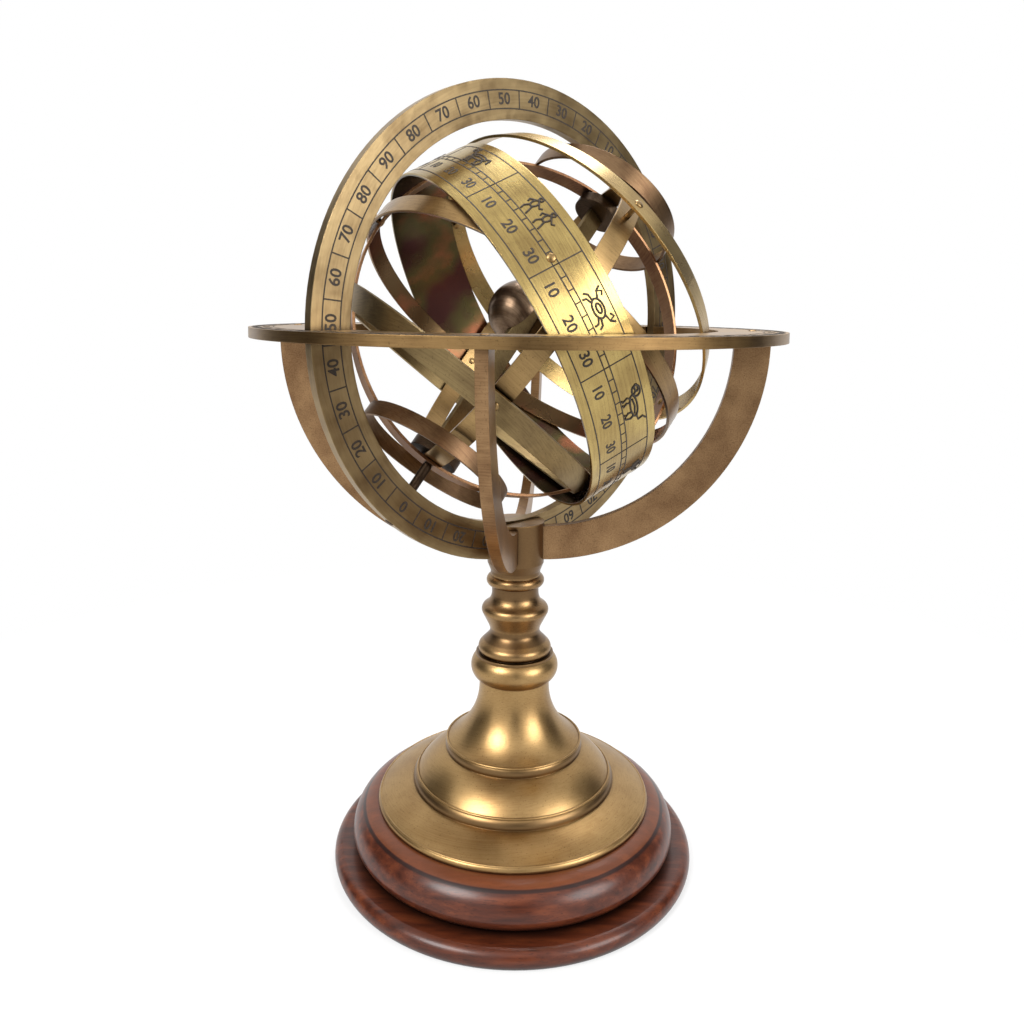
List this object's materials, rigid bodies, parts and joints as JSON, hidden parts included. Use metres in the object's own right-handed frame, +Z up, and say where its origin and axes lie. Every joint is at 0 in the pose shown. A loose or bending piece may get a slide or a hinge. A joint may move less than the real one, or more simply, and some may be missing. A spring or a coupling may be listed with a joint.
{
  "type": "armillary sphere",
  "caption": "Brass armillary sphere: nested sky hoops turn on a polar axis inside a graduated meridian ring, held by a horizon ring and arms on a turned column, bell foot and wooden base.",
  "frame": {"origin": "centre of the underside of the base, on the surface that it stands on", "axes": "+Z up along the column, -Y towards the front of the picture, +X to the right; the polar axis rises to the back right"},
  "size_m": [0.1524, 0.1524, 0.2295],
  "materials": {
    "felt": "green wool felt",
    "wood": "turned hardwood, dark red-brown satin varnish",
    "steel": "zinc plated",
    "turned_brass": "turned, brushed, antiqued and lacquered",
    "ring_brass": "brushed and antiqued with dark filled engraving",
    "arm_brass": "brushed and antiqued",
    "hoop_brass": "heat-browned, reddish and olive patina",
    "band_brass": "bright brushed with dark filled engraving",
    "dark_brass": "blackened by age"
  },
  "bodies": {
    "stand": {"base_felt": "felt", "wood_base": "wood", "bell_foot": "turned_brass", "column": "turned_brass", "hub": "turned_brass", "tie_rod": "steel", "base_washer": "steel", "base_nut": "steel", "cradle_arm_right": "arm_brass", "cradle_arm_back": "arm_brass", "cradle_arm_left": "arm_brass", "cradle_arm_front": "arm_brass", "horizon_ring": "ring_brass", "arm_pins": "ring_brass"},
    "meridian": {"meridian_ring": "ring_brass", "north_pivot": "dark_brass", "south_pivot": "dark_brass"},
    "sphere": {"north_pole_disc": "dark_brass", "south_pole_disc": "dark_brass", "axis_strip": "hoop_brass", "earth_ball": "dark_brass", "outer_colure": "hoop_brass", "inner_colure": "hoop_brass", "equator_ring": "hoop_brass", "cancer_ring": "band_brass", "capricorn_ring": "hoop_brass", "arctic_ring": "hoop_brass", "antarctic_ring": "hoop_brass", "zodiac_band": "band_brass", "hoop_rivets": "dark_brass"}
  },
  "joints": [
    {"name": "meridian_turn", "type": "hinge", "parent": "stand", "child": "meridian", "pos_m": [0.00098, -0.00106, 0.16048], "axis": [0.6754, -0.7371, -0.0209], "continuous": true},
    {"name": "sphere_spin", "type": "hinge", "parent": "meridian", "child": "sphere", "pos_m": [0.00098, -0.00106, 0.16048], "axis": [0.4944, 0.4316, 0.7545], "continuous": true}
  ]
}
